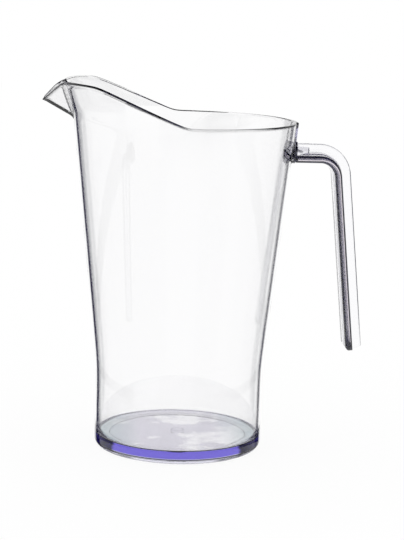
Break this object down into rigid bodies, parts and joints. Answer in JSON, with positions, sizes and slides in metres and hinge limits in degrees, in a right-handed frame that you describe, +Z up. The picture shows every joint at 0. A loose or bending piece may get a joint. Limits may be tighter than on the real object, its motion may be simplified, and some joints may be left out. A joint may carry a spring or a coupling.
{
  "type": "beer pitcher",
  "caption": "Clear moulded pitcher with a straight foot, conical wall, sloping rim, V-shaped spout and an open-ended T-section handle held by a plug through the wall.",
  "frame": {"origin": "centre of the foot's standing ring, on the table", "axes": "+Z up, -X towards the spout, +X towards the handle, mirror plane Y = 0"},
  "size_m": [0.194, 0.1311, 0.2184],
  "materials": {
    "clear_polycarbonate": "clear, polished, with a faint violet tint"
  },
  "bodies": {
    "root": {"jug_body": "clear_polycarbonate", "handle": "clear_polycarbonate", "handle_plug": "clear_polycarbonate"}
  },
  "joints": []
}
